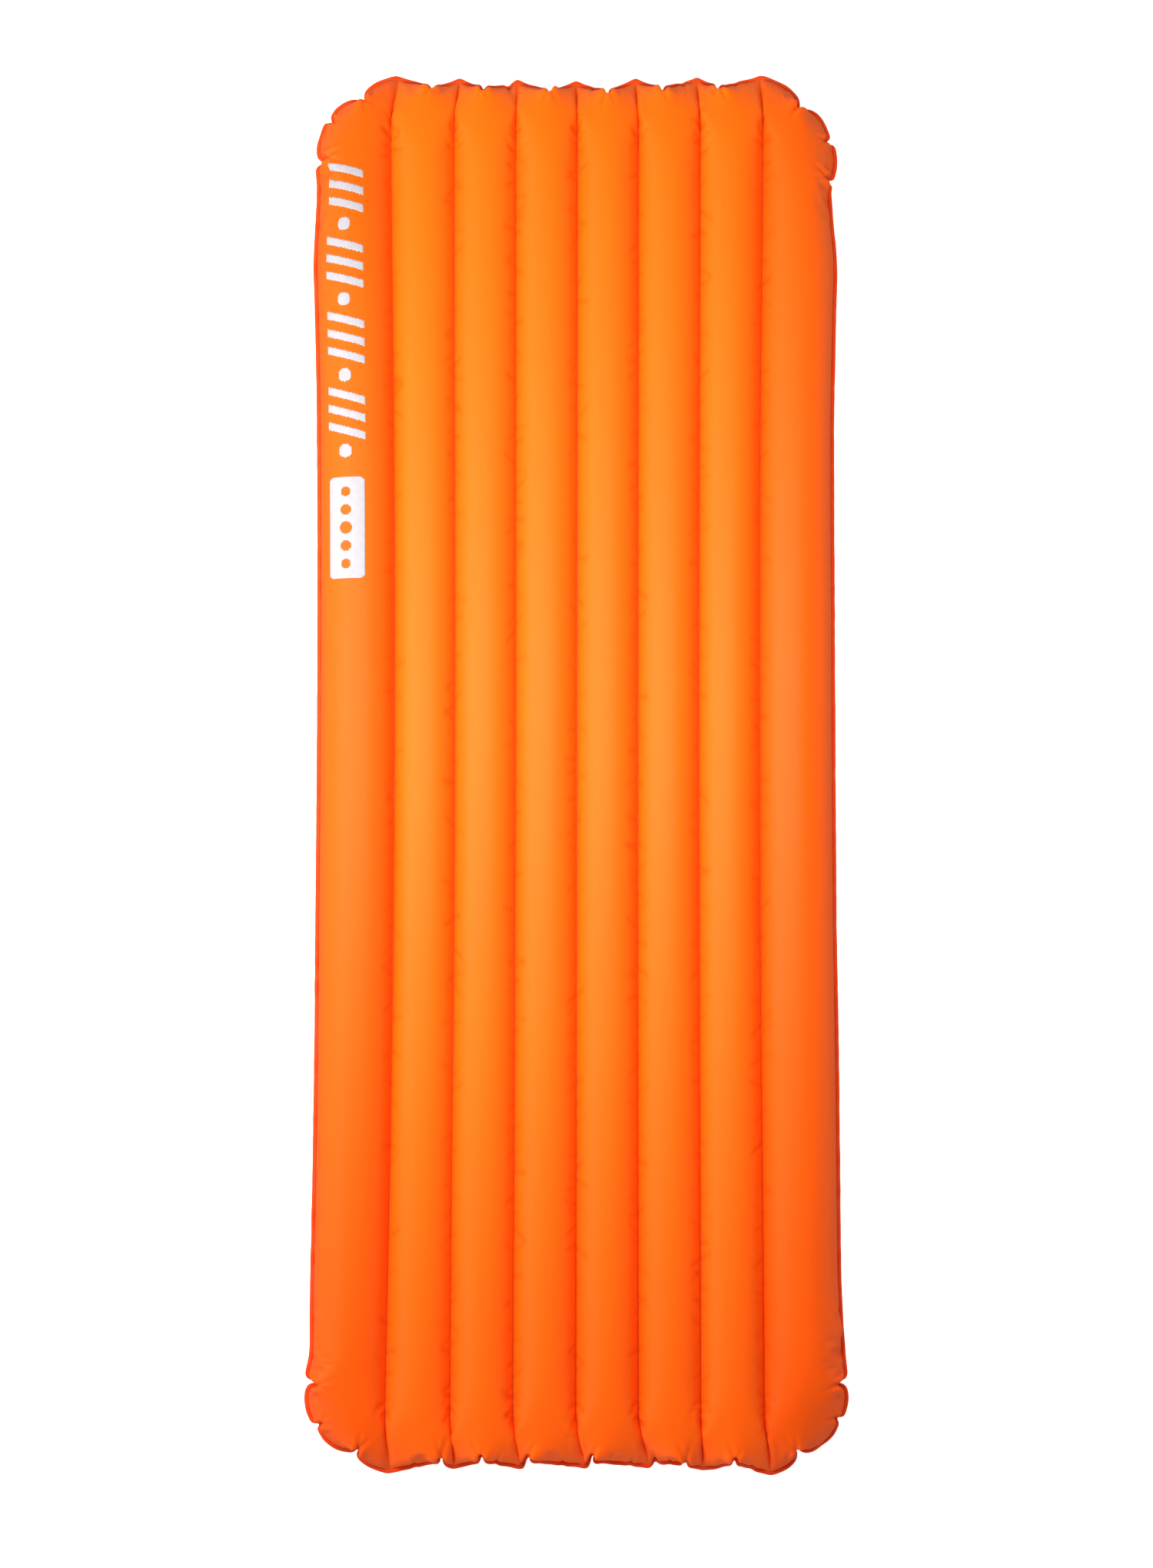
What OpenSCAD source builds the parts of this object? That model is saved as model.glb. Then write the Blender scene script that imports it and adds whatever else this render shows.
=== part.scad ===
// Inflatable sleeping pad: two sheets welded round the outline and joined by lengthwise baffles.
// Origin: middle of the pad, on the surface that it rests on. X is the width, Y the length with
// the head end at +Y, and Z is up. Millimetres.

/* [Pad] */
// Overall length, over the weld margins
pad_l = 1830; // [1700:5:1980]
// Overall width, over the weld margins
pad_w = 680; // [660:1:700]
// Corner radius in plan
corner_r = 105; // [95:1:115]
// Width of the weld margin round the outline
weld_w = 6; // [4:0.5:8]
// Thickness of each sheet as modelled
sheet_t = 0.7; // [0.5:0.1:0.9]

/* [Tubes] */
// Number of narrow tubes in the middle
mid_tubes = 6; // [6:1:6]
// Distance between neighbouring seams
tube_pitch = 79; // [78:0.5:80]
// Radius of an inflated middle tube
tube_r = 45; // [44:0.5:46]
// Width of the weld at each baffle
seam_w = 5; // [4:0.5:6]
// How far the side tubes flatten where they rest
rest_squash = 1.2; // [0.8:0.1:1.6]
// Length over which each end of a tube rounds off
end_round = 51; // [48:1:54]

/* [Baffles and films] */
// Thickness of a baffle's web
web_t = 0.8; // [0.6:0.1:1]
// Thickness of the insulating film
film_t = 0.5; // [0.4:0.1:0.6]
// Distance from the pad's end to the end of a baffle
baffle_gap = 60; // [58:1:70]

/* [Valve] */
// Distance of the valve from the pad's middle, towards the foot end
valve_y = -700; // [-740:5:-400]
// Angle of the valve's axis below the horizontal
valve_tilt = 35; // [35:1:36]
// Outer radius of the valve body
body_r = 19; // [19:0.5:19]
// Radius of the wide deflation bore
bore_r = 15; // [15:0.5:15]
// Radius of the plug's rim
rim_r = 18; // [18:0.5:18]
// Radius of the inflation port
port_r = 8; // [8:0.1:8]
// Length of the inflation port's straight bore
port_l = 5.2; // [5.2:0.1:5.2]
// Radius of the inflation cap
cap_r = 11.5; // [11.5:0.1:11.5]

/* [Hidden] */
$fn = 96;

// Plan of the envelope inside the weld margin
edge_x = pad_w / 2 - weld_w;
edge_y = pad_l / 2 - weld_w;
fillet = corner_r - weld_w;
fillet_x = edge_x - fillet;
fillet_y = edge_y - fillet;
margin_scale = corner_r / fillet;
round_y = edge_y - end_round;

// Middle tubes: arcs between the flat seams
half_span = (tube_pitch - seam_w) / 2;
seam_h = sqrt(tube_r * tube_r - half_span * half_span);
tube_in_r = tube_r - sheet_t;
seam_in_h = sqrt(tube_in_r * tube_in_r - half_span * half_span);
last_seam = tube_pitch * mid_tubes / 2;

// Side tubes: an arc from the last seam, level with it, down to the weld margin
side_w = edge_x - last_seam - seam_w / 2;
side_r = (side_w * side_w + seam_h * seam_h) / (2 * side_w);
side_x = edge_x - side_r;
mid_z = side_r - rest_squash;
rest_half_angle = acos(mid_z / side_r);
seam_angle = acos((last_seam + seam_w / 2 - side_x) / side_r);

// Columns of the sheets, from -X to +X
tube_angle = acos(half_span / tube_r);
tube_steps = 6;
inner_steps = 3;
outer_steps = 5;
function spread(a, b, n) = [for (i = [0:n]) a + (b - a) * i / n];
side_angles = concat(
    spread(seam_angle, 90 + rest_half_angle, inner_steps),
    [90],
    spread(90 - rest_half_angle, 0, outer_steps)
);
right_columns = [for (a = side_angles) side_x + side_r * cos(a)];
left_columns = [for (i = [len(right_columns) - 1:-1:0]) -right_columns[i]];
function tube_columns(k) = [
    for (a = spread(180 - tube_angle, tube_angle, tube_steps))
        (k - (mid_tubes - 1) / 2) * tube_pitch + tube_r * cos(a)
];
columns = concat(
    left_columns,
    [for (k = [0:mid_tubes - 1]) each tube_columns(k)],
    right_columns
);

// Rows of the sheets, from -Y to +Y
end_steps = 5;
end_rows = [for (a = spread(0, 90, end_steps)) round_y + end_round * sin(a)];
rows = concat(
    [for (i = [end_steps:-1:0]) -end_rows[i]],
    [-fillet_y, fillet_y],
    end_rows
);

// Half height of the envelope across a tube, and its fall-off towards an end, for a skin
// that lies depth inside the outer face
function arc_height(r, d) = sqrt(max(0, r * r - d * d));
function tube_height(x, depth) =
    let (from_seam = abs(x) - last_seam,
         centre = (floor(abs(x) / tube_pitch) + 0.5) * tube_pitch,
         off = min(abs(abs(x) - centre), half_span))
    from_seam > seam_w / 2
        ? arc_height(side_r - depth, abs(x) - side_x)
        : arc_height(tube_r - depth, from_seam > 0 ? half_span : off);
function end_fall(y, depth) =
    arc_height(end_round - depth, max(0, abs(y) - round_y)) / (end_round - depth);
function half_height(x, y, depth) = tube_height(x, depth) * end_fall(y, depth);

// Plan position: the square corner of the grid is drawn in to a round one
function plan(x, y) =
    let (u = max(0, abs(x) - fillet_x) / fillet, v = max(0, abs(y) - fillet_y) / fillet,
         px = u * sqrt(1 - v * v / 2), py = v * sqrt(1 - u * u / 2))
    u > 0 && v > 0
        ? [sign(x) * (fillet_x + fillet * px), sign(y) * (fillet_y + fillet * py)]
        : [x, y];

// Plan position of the margin's outer edge beside an edge point of the grid
function margin(x, y) =
    let (p = plan(x, y), cx = sign(x) * min(abs(x), fillet_x), cy = sign(y) * min(abs(y), fillet_y))
    [cx + (p[0] - cx) * margin_scale, cy + (p[1] - cy) * margin_scale];

// The grid's edge, counter-clockwise from its -X, -Y corner, as [column, row]
n_col = len(columns);
n_row = len(rows);
edge_loop = concat(
    [for (i = [0:n_col - 2]) [i, 0]],
    [for (j = [0:n_row - 2]) [n_col - 1, j]],
    [for (i = [n_col - 1:-1:1]) [i, n_row - 1]],
    [for (j = [n_row - 1:-1:1]) [0, j]]
);
n_edge = len(edge_loop);
n_grid = n_col * n_row;

// One sheet: side is 1 for the top sheet and -1 for the bottom one, which rests on z = 0
function skin_z(side, h, lowest) = side > 0 ? mid_z + h : max(lowest, mid_z - h);
function sheet_points(side) = concat(
    [for (x = columns) for (y = rows)
        concat(plan(x, y), skin_z(side, max(sheet_t, half_height(x, y, 0)), 0))],
    [for (x = columns) for (y = rows)
        concat(plan(x, y), skin_z(side, half_height(x, y, sheet_t), sheet_t))],
    [for (e = edge_loop) concat(margin(columns[e[0]], rows[e[1]]), skin_z(side, sheet_t, 0))],
    [for (e = edge_loop) concat(margin(columns[e[0]], rows[e[1]]), skin_z(side, 0, 0))]
);
function at(i, j) = i * n_row + j;
function edge_at(k) = at(edge_loop[k % n_edge][0], edge_loop[k % n_edge][1]);
function margin_at(k) = 2 * n_grid + k % n_edge;
function two(a, b, c, d) = [[a, b, c], [a, c, d]];
function flip(f, side) = side > 0 ? f : [f[0], f[2], f[1]];
sheet_faces = concat(
    [for (i = [0:n_col - 2]) for (j = [0:n_row - 2])
        each two(at(i, j), at(i, j + 1), at(i + 1, j + 1), at(i + 1, j))],
    [for (i = [0:n_col - 2]) for (j = [0:n_row - 2])
        each two(n_grid + at(i, j), n_grid + at(i + 1, j),
                 n_grid + at(i + 1, j + 1), n_grid + at(i, j + 1))],
    [for (k = [0:n_edge - 1])
        each two(edge_at(k), edge_at(k + 1), margin_at(k + 1), margin_at(k))],
    [for (k = [0:n_edge - 1])
        each two(margin_at(k), margin_at(k + 1), n_edge + margin_at(k + 1), n_edge + margin_at(k))],
    [for (k = [0:n_edge - 1])
        each two(n_grid + edge_at(k), n_edge + margin_at(k),
                 n_edge + margin_at(k + 1), n_grid + edge_at(k + 1))]
);
module sheet(side) {
    polyhedron(sheet_points(side), [for (f = sheet_faces) flip(f, side)], convexity = 10);
}

module top_sheet() {
    color("darkorange") sheet(1);
}

module bottom_sheet() {
    color("darkorange")
    difference() {
        sheet(-1);
        at_valve() cylinder(r = body_r + 0.05, h = 30, center = true);
    }
}

// Baffles: a web with a foot under each sheet, flat side to flat side
foot_t = 0.8;
module baffle(i) {
    x = (i - (mid_tubes + 2) / 2) * tube_pitch;
    run = pad_l - 2 * baffle_gap;
    color("whitesmoke")
    translate([x, run / 2, mid_z]) rotate([90, 0, 0]) linear_extrude(run) {
        square([web_t, 2 * (seam_in_h - foot_t) + 0.2], center = true);
        for (s = [1, -1])
            translate([0, s * (seam_in_h - foot_t / 2)]) square([seam_w, foot_t], center = true);
    }
}

// Insulating film hung level between the webs; in a side tube it runs to the weld margin
film_l = pad_l - 2 * baffle_gap - 20;
side_film_l = 2 * fillet_y - 20;
edge_clear = 1.5;
module thermal_film(i) {
    inner = (i - (mid_tubes + 3) / 2) * tube_pitch;
    is_side = i == 1 || i == mid_tubes + 2;
    far = edge_x - edge_clear;
    low = i == 1 ? -far : inner - tube_pitch / 2 + web_t / 2;
    high = is_side && i > 1 ? far : inner + tube_pitch / 2 - web_t / 2;
    l = is_side ? side_film_l : film_l;
    color("silver") translate([low, -l / 2, mid_z - film_t / 2]) cube([high - low, l, film_t]);
}

// Valve: local z runs outwards along the valve's axis from the sheet's outer face, local x runs
// down the side of the tube, and local y is the pad's Y
module at_valve() {
    translate([side_x + side_r * cos(valve_tilt), valve_y, mid_z - side_r * sin(valve_tilt)])
        rotate([0, 90 + valve_tilt, 0]) children();
}

flange_r = 27;
flange_t = 1.2;
module valve_flange() {
    color("dimgray")
    intersection() {
        translate([side_x, valve_y, mid_z]) rotate([90, 0, 0]) difference() {
            cylinder(r = side_r - sheet_t, h = 80, center = true);
            cylinder(r = side_r - sheet_t - flange_t, h = 90, center = true);
        }
        at_valve() translate([0, 0, -20]) difference() {
            cylinder(r = flange_r, h = 30);
            translate([0, 0, -1]) cylinder(r = body_r, h = 32);
        }
    }
}

body_top = 3;
body_deep = 9;
lug_end = 21.6;
lug_w = 8;
module valve_body() {
    edge = 0.6;
    color("dimgray") at_valve() {
        rotate_extrude() polygon([
            [bore_r, -body_deep], [body_r, -body_deep], [body_r, body_top - edge],
            [body_r - edge, body_top], [bore_r + edge, body_top], [bore_r, body_top - edge]
        ]);
        translate([-lug_end, -lug_w / 2, 0.5]) cube([lug_end - body_r + 0.8, lug_w, body_top - 0.5]);
    }
}

module ring(r_in, r_out, z_low, z_high) {
    rotate_extrude() translate([r_in, z_low]) square([r_out - r_in, z_high - z_low]);
}

seal_t = 0.55;
module body_seal() {
    color("gainsboro") at_valve() ring(15.8, 17.4, body_top, body_top + seal_t);
}

// Deflation plug: rim, tapered barrel, and the inflation port with a four-armed spider under it
rim_low = body_top + 0.6;
rim_top = rim_low + 1.4;
plug_low = -6;
barrel_top_r = 14.8;
barrel_low_r = 13.2;
port_top = 3.3;
port_low = port_top - port_l;
spider_top = plug_low + 1.2;
tube_out_r = 10.3;
relief_r = 8.8;
stem_hole_r = 1.35;
over = 0.01;
module finger_tab(from, to, w, low, high) {
    translate([-w / 2, -to + w / 2, low]) cube([w, to - from - w / 2, high - low]);
    translate([0, -to + w / 2, low]) cylinder(r = w / 2, h = high - low);
}
module deflation_plug() {
    color("dimgray") at_valve() difference() {
        union() {
            translate([0, 0, rim_low]) cylinder(r = rim_r, h = rim_top - rim_low);
            translate([0, 0, plug_low])
                cylinder(r1 = barrel_low_r, r2 = barrel_top_r, h = rim_low - plug_low + over);
            finger_tab(rim_r - 2, 23, 9, rim_low + 0.2, rim_top);
        }
        difference() {
            translate([0, 0, plug_low - over]) cylinder(r = 11.7, h = rim_low - plug_low - 0.4);
            translate([0, 0, plug_low - 1]) cylinder(r = tube_out_r, h = 14);
        }
        translate([0, 0, port_low]) cylinder(r = port_r, h = port_l + over);
        translate([0, 0, port_top]) cylinder(r = port_r + 1, h = 3);
        translate([0, 0, spider_top]) cylinder(r = relief_r, h = port_low - spider_top);
        translate([0, 0, plug_low - over]) difference() {
            cylinder(r = relief_r, h = spider_top - plug_low + 2 * over);
            translate([0, 0, -1]) cylinder(r = 3, h = 4);
            for (a = [45, 135]) rotate([0, 0, a]) cube([2 * relief_r + 1, 1.6, 6], center = true);
        }
        translate([0, 0, plug_low - 1]) cylinder(r = stem_hole_r, h = 4);
    }
}

// Check flap: a soft disc that hangs under the port by its stem and bulb
flap_travel = 1.5;
flap_top = plug_low - 0.1;
flap_r = 9.6;
stem_r = 1.2;
module check_flap() {
    bulb_low = spider_top + flap_travel + 0.05;
    color("gainsboro") at_valve() rotate_extrude() polygon([
        [0, flap_top - 0.8], [flap_r, flap_top - 0.8], [flap_r, flap_top - 0.3],
        [flap_r - 0.4, flap_top], [stem_r, flap_top], [stem_r, bulb_low],
        [1.9, bulb_low], [1.9, bulb_low + 0.4], [0.9, bulb_low + 1], [0, bulb_low + 1]
    ]);
}

// Inflation cap: a disc with a short boss that drops into the port's counterbore
cap_low = rim_top + 0.6;
cap_top = cap_low + 1.6;
boss_r = 8.6;
module inflation_cap() {
    edge = 0.5;
    color("dimgray") at_valve() {
        rotate_extrude() polygon([
            [0, port_top + 0.2], [boss_r, port_top + 0.2], [boss_r, cap_low], [cap_r, cap_low],
            [cap_r, cap_top - edge], [cap_r - edge, cap_top], [0, cap_top]
        ]);
        finger_tab(cap_r - 2, 15.5, 6, cap_low, cap_top - edge);
    }
}

module cap_seal() {
    color("gainsboro") at_valve() ring(9.3, 10.7, rim_top + 0.05, cap_low);
}

// Tethers: soft strips that lie across the two hinge lines
module plug_strap() {
    color("gray") at_valve() translate([-lug_end + 0.4, -3, body_top])
        cube([lug_end - rim_r - 0.5, 6, rim_low - body_top]);
}

module cap_strap() {
    color("gray") at_valve() translate([-3, cap_r + 0.3, rim_top]) cube([6, 5.6, 0.7]);
}

top_sheet();
bottom_sheet();
for (i = [1:7]) baffle(i);
for (i = [1:8]) thermal_film(i);
valve_flange();
valve_body();
body_seal();
deflation_plug();
check_flap();
inflation_cap();
cap_seal();
plug_strap();
cap_strap();
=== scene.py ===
"""Inflatable sleeping pad: fabric, seams, weld edge, print and valve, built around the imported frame.

Everything is in metres in the shared frame: X across, Y along with the head end at +Y, Z up.
The two sheets are relaxed under air pressure from their flat cut, held at the seams by the
webs and joined round the edge, which gives the crowned tubes, gathered ends and corners.
"""

import math

import bpy
import numpy as np
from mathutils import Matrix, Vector


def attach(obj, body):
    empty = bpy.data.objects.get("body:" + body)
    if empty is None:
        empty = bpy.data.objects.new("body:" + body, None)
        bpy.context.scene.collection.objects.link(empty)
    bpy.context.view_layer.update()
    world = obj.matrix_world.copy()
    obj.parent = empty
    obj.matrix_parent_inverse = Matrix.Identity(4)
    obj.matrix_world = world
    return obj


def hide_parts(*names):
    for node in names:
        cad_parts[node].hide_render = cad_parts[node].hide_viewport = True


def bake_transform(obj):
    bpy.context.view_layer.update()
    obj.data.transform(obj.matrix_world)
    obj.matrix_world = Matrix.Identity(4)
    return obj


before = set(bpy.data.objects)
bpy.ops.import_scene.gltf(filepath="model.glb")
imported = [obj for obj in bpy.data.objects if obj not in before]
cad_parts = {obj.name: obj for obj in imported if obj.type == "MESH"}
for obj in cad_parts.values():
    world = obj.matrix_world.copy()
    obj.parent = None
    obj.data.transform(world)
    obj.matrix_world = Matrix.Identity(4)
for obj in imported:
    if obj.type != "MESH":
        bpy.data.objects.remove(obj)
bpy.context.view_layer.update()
F = np.float32

# ---------------------------------------------------------------- sizes of the flat cut
PITCH = 0.079  # between neighbouring seams
MID_R = 0.045  # radius of an inflated middle tube
MID_TUBES = 6
EDGE_X = 0.334  # half width of the weld line, inflated
EDGE_Y = 0.909  # half length of the weld line at its longest point
MARGIN = 0.006  # bonded rim outside the weld line
LAST = PITCH * MID_TUBES / 2  # the outermost seams, across
SEAM_H = math.sqrt(MID_R**2 - (PITCH / 2) ** 2)  # a seam's height over the middle plane
SIDE_W = EDGE_X - LAST
SIDE_R = (SIDE_W * SIDE_W + SEAM_H**2) / (2 * SIDE_W)
SIDE_X = EDGE_X - SIDE_R
MID_Z = 0.04952  # the middle plane
MID_ARC = 2 * math.asin(PITCH / 2 / MID_R) * MID_R
SIDE_A = math.acos((LAST - SIDE_X) / SIDE_R)
HALF_MID = MID_ARC * MID_TUBES / 2
S_EDGE = SIDE_A * SIDE_R + HALF_MID
T_EDGE = 0.914  # half length of the flat cut, and S_EDGE its half width, at the weld line
CORNER = 0.130  # corner radius of the flat cut
END_ZONE = 0.16  # length at each end with a finer grid
WEB_GAP = 0.05  # from the weld line to a web's end
EDGE_HOLD = 0.25  # how firmly each pass holds the weld line's length
CORNER_LENGTH = 0.93  # the weld line's own length in the corners, as a share of the flat length
EDGE_BEND = 0.15  # its stiffness against folding
TUCK = 0.007  # first dent at each gather
# each grid's cells: across a middle tube, across a side tube, along an end zone, along the middle
ROUGH_GRID = (12, 17, 20, 180)
FINE_GRID = (22, 32, 42, 280)
# where the weld line gathers: (tube, share of its width), and flat distances round each corner
HEAD_GATHERS = ((0, 0.60), (1, 0.44), (2, 0.56), (3, 0.52), (4, 0.44), (5, 0.36))
FOOT_GATHERS = ((0, 0.80), (1, 0.45), (2, 0.17), (3, 0.17), (4, 0.76), (5, 0.56))
# where each end's seams and gathers settle, in mm across, and how the weld line runs between them:
# (mm across, mm short of the longest point)
HEAD_SEAMS = (-236, -155, -78, -1, 78, 159, 242)
HEAD_PINCH = (-190, -123, -35, 41, 113, 186)
HEAD_LINE = ((-236, 0.4), (-207, 7), (-192, 12), (-185, 11.5), (-155, 3), (-125, 13), (-110, 11.5),
             (-96, 10.5), (-89, 12.5), (-78, 5.2), (-35, 17), (-1, 7), (41, 18), (78, 3.4), (113, 14),
             (159, 2.2), (186, 12.5), (242, 0))
FOOT_SEAMS = (-241, -158, -70, 13, 92, 162, 248)
FOOT_PINCH = (-173, -122, -62, 21, 140, 203)
FOOT_LINE = ((-241, 2.6), (-178, 15), (-173, 21), (-168, 12), (-158, 7.6), (-131, 14), (-122, 19.5),
             (-114, 15.2), (-70, 7.6), (-64, 19), (-57, 15.5), (13, 8.8), (19, 19.5), (26, 15.3), (92, 8.6),
             (101, 15.5), (108, 13.4), (134, 13), (139, 17.4), (147, 10), (162, 6.6), (178, 7.2),
             (203, 15.6), (222, 7.8), (248, 0.4))
# smaller puckers beside them: (tube, share, depth in mm, how far in, slant)
HEAD_PUCKERS = ((0, 0.50, 0.9, 14, 0.3), (1, 0.86, 1.1, 14, -0.4), (3, 0.30, 0.8, 12, 0.3),
                (4, 0.78, 0.9, 16, -0.3), (5, 0.62, 0.8, 12, 0.2))
FOOT_PUCKERS = ((0, 0.40, 0.8, 16, 0.3), (1, 0.62, 1.2, 24, 0.5), (2, 0.12, 1.5, 18, -0.2),
                (2, 0.62, 0.9, 22, -0.4), (3, 0.08, 1.4, 18, 0.2), (3, 0.70, 1.0, 20, 0.4),
                (4, 0.12, 1.4, 18, -0.2), (4, 0.40, 0.8, 14, 0.3), (5, 0.74, 1.0, 20, -0.3))
CORNER_GATHERS = (
    (-1, 1, (0.068, 0.130, 0.200)),
    (1, 1, (0.030, 0.096, 0.134, 0.200)),
    (-1, -1, (0.064, 0.150, 0.198)),
    (1, -1, (0.058, 0.128, 0.158, 0.180)),
)

# valve: centre on the side tube's outer lower face, its outward axis, and down the side
TILT = math.radians(35)
VALVE_C = np.array((SIDE_X + SIDE_R * math.cos(TILT), -0.7, MID_Z - SIDE_R * math.sin(TILT)))
VALVE_N = np.array((math.cos(TILT), 0.0, -math.sin(TILT)))
VALVE_X = np.array((-math.sin(TILT), 0.0, -math.cos(TILT)))
VALVE_Y = np.array((0.0, 1.0, 0.0))
MM = 0.001


def at_valve(x, y, z):
    """A point given in millimetres in the valve's own axes."""
    return VALVE_C + (VALVE_X * x + VALVE_Y * y + VALVE_N * z) * MM


def smooth(a):
    a = np.clip(a, 0, 1)
    return a * a * (3 - 2 * a)


# ---------------------------------------------------------------- camera and light
LENS = 70.5
CAMERA_TIP = math.radians(3.4)
CAMERA_AIM = Vector((0.0, -0.0235, 0.05))
CAMERA_DISTANCE = 4.0


def camera():
    data = bpy.data.cameras.new("camera")
    cam = bpy.data.objects.new("camera", data)
    bpy.context.scene.collection.objects.link(cam)
    data.lens = LENS
    data.sensor_width = 36.0
    data.sensor_fit = "AUTO"
    cam.location = CAMERA_AIM + CAMERA_DISTANCE * Vector((0, -math.sin(CAMERA_TIP), math.cos(CAMERA_TIP)))
    cam.rotation_euler = (CAMERA_TIP, 0, 0)
    bpy.context.scene.camera = cam


def area_light(name, place, tip, size, watts):
    data = bpy.data.lights.new(name, "AREA")
    data.shape = "RECTANGLE"
    data.size, data.size_y = size
    data.energy = watts
    lamp = bpy.data.objects.new(name, data)
    bpy.context.scene.collection.objects.link(lamp)
    lamp.location = place
    lamp.visible_camera = False
    lamp.rotation_euler = [math.radians(a) for a in tip]


ROOM_ABOVE = 0.26
ROOM_LEVEL = 1.30


def studio():
    scene = bpy.context.scene
    scene.view_settings.view_transform = "Standard"
    scene.view_settings.gamma = 0.86
    world = bpy.data.worlds.new("studio")
    world.use_nodes = True
    tree = world.node_tree
    back = tree.nodes["Background"]
    # a white room, brightest level with the pad, so its rims and end faces stay warm
    way = tree.nodes.new("ShaderNodeTexCoord").outputs["Generated"]
    split = tree.nodes.new("ShaderNodeSeparateXYZ")
    tree.links.new(way, split.inputs[0])
    height = tree.nodes.new("ShaderNodeMath")
    height.operation = "ABSOLUTE"
    tree.links.new(split.outputs[2], height.inputs[0])
    level = tree.nodes.new("ShaderNodeMapRange")
    level.interpolation_type = "SMOOTHSTEP"
    level.inputs["From Min"].default_value = 0.10
    level.inputs["From Max"].default_value = 0.60
    level.inputs["To Min"].default_value = ROOM_LEVEL
    level.inputs["To Max"].default_value = ROOM_ABOVE
    tree.links.new(height.outputs[0], level.inputs["Value"])
    tree.links.new(level.outputs[0], back.inputs["Strength"])
    back.inputs["Color"].default_value = (1.0, 1.0, 1.0, 1)
    scene.world = world
    # a wide strip softbox across the pad, left of its middle
    area_light("key", (-1.15, 0.17, 1.35), (0, -5, 0), (3.6, 0.5), 52)
    # and a long soft one beside the pad, which keeps the tubes' left flanks lighter at both ends
    area_light("side", (-2.0, -0.1, 2.0), (0, -45, 0), (0.5, 4.4), 30)


def studio_floor():
    """A pale floor that runs far out and curves up, so no horizon shows in low views."""
    profile = [(0, 0), (15, 0), (19, 0.4), (22, 2), (24, 6), (25, 16)]
    turn = 64
    verts = [(r * math.cos(2 * math.pi * k / turn), r * math.sin(2 * math.pi * k / turn), z)
             for r, z in profile[1:] for k in range(turn)]
    faces = [tuple(range(turn))]
    for ring in range(len(profile) - 2):
        for k in range(turn):
            a, b = ring * turn + k, ring * turn + (k + 1) % turn
            faces.append((a, b, b + turn, a + turn))
    mesh = bpy.data.meshes.new("floor")
    mesh.from_pydata(verts, [], faces)
    floor = bpy.data.objects.new("floor", mesh)
    bpy.context.scene.collection.objects.link(floor)
    m = bpy.data.materials.new("floor_white")
    m.use_nodes = True
    b = m.node_tree.nodes["Principled BSDF"]
    b.inputs["Base Color"].default_value = (0.93, 0.93, 0.93, 1)
    b.inputs["Roughness"].default_value = 0.9
    b.inputs["Emission Color"].default_value = (1, 1, 1, 1)
    b.inputs["Emission Strength"].default_value = 0.7
    floor.data.materials.append(m)
    # the floor is bright to the eye but doesn't light the pad from below
    floor.visible_diffuse = False
    floor.visible_glossy = False
    floor.visible_shadow = False


# ---------------------------------------------------------------- materials


class Nodes:
    """A small helper that adds nodes to one material and links them."""

    def __init__(self, name):
        self.m = bpy.data.materials.new(name)
        self.m.use_nodes = True
        self.t = self.m.node_tree
        self.bsdf = self.t.nodes["Principled BSDF"]
        co = self.t.nodes.new("ShaderNodeTexCoord")
        self.place = co.outputs["Object"]

    def add(self, kind, ins=None, **props):
        n = self.t.nodes.new("ShaderNode" + kind)
        for k, v in props.items():
            setattr(n, k, v)
        for k, v in (ins or {}).items():
            self.put(n.inputs[k], v)
        return n

    def put(self, socket, v):
        if isinstance(v, bpy.types.NodeSocket):
            self.t.links.new(v, socket)
        else:
            socket.default_value = v

    def shader(self, **ins):
        for k, v in ins.items():
            self.put(self.bsdf.inputs[k.replace("_", " ")], v)

    def mapped(self, scale):
        return self.add("Mapping", {"Vector": self.place, "Scale": scale}).outputs[0]

    def noise(self, scale, detail=3.0, rough=0.5, stretch=(1, 1, 1)):
        ins = {"Vector": self.mapped(stretch), "Scale": scale, "Detail": detail, "Roughness": rough}
        return self.add("TexNoise", ins).outputs[0]

    def wave(self, period, axis):
        ins = {"Vector": self.place, "Scale": 2 * math.pi / 20 / period}
        return self.add("TexWave", ins, bands_direction=axis).outputs["Fac"]

    def mix(self, fac, a, b):
        n = self.add("Mix", data_type="RGBA")
        self.put(n.inputs[0], fac)
        self.put(n.inputs[6], a)
        self.put(n.inputs[7], b)
        return n.outputs[2]

    def ramp(self, fac, stops):
        n = self.add("ValToRGB", {"Fac": fac})
        e = n.color_ramp.elements
        while len(e) < len(stops):
            e.new(0.5)
        for el, (pos, col) in zip(e, stops):
            el.position = pos
            el.color = col if len(col) == 4 else (*col, 1)
        return n.outputs[0]

    def math(self, op, a, b):
        n = self.add("Math", operation=op)
        self.put(n.inputs[0], a)
        self.put(n.inputs[1], b)
        return n.outputs[0]

    def attribute(self, name):
        return self.add("Attribute", attribute_name=name).outputs["Fac"]

    def bump(self, height, distance, strength=1.0, normal=None):
        ins = {"Height": height, "Distance": distance, "Strength": strength}
        if normal is not None:
            ins["Normal"] = normal
        return self.add("Bump", ins).outputs[0]


WEAVE = 0.00045  # spacing of the yarns


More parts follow.
